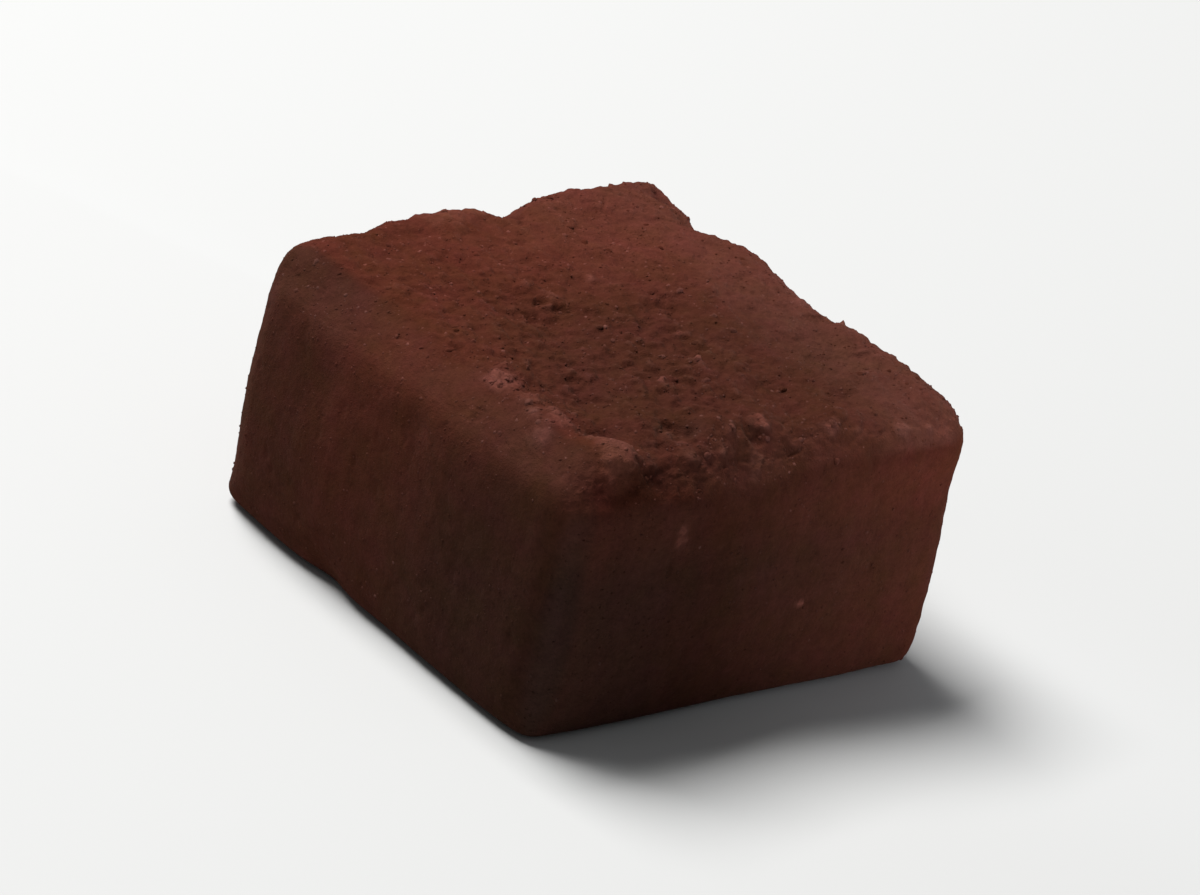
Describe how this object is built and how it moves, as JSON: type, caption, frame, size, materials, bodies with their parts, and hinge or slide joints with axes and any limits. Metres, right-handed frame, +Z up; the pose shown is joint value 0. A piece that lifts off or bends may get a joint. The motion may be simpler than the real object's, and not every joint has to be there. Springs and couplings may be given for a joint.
{
  "type": "nama chocolate piece",
  "caption": "Soft ganache tile with rounded hand-cut edges, a crumbly cocoa-dusted top and a flat base, for plates, trays and cups of sweets.",
  "frame": {"origin": "centre of the bounding box at the flat base that the piece rests on", "axes": "+X along the longer side, +Y along the shorter side towards the back, +Z up through the thickness"},
  "size_m": [0.027, 0.0262, 0.0148],
  "materials": {
    "cocoa": "dry cocoa powder over soft ganache, matte and finely granular"
  },
  "bodies": {
    "root": {"chocolate_piece": "cocoa"}
  },
  "joints": []
}
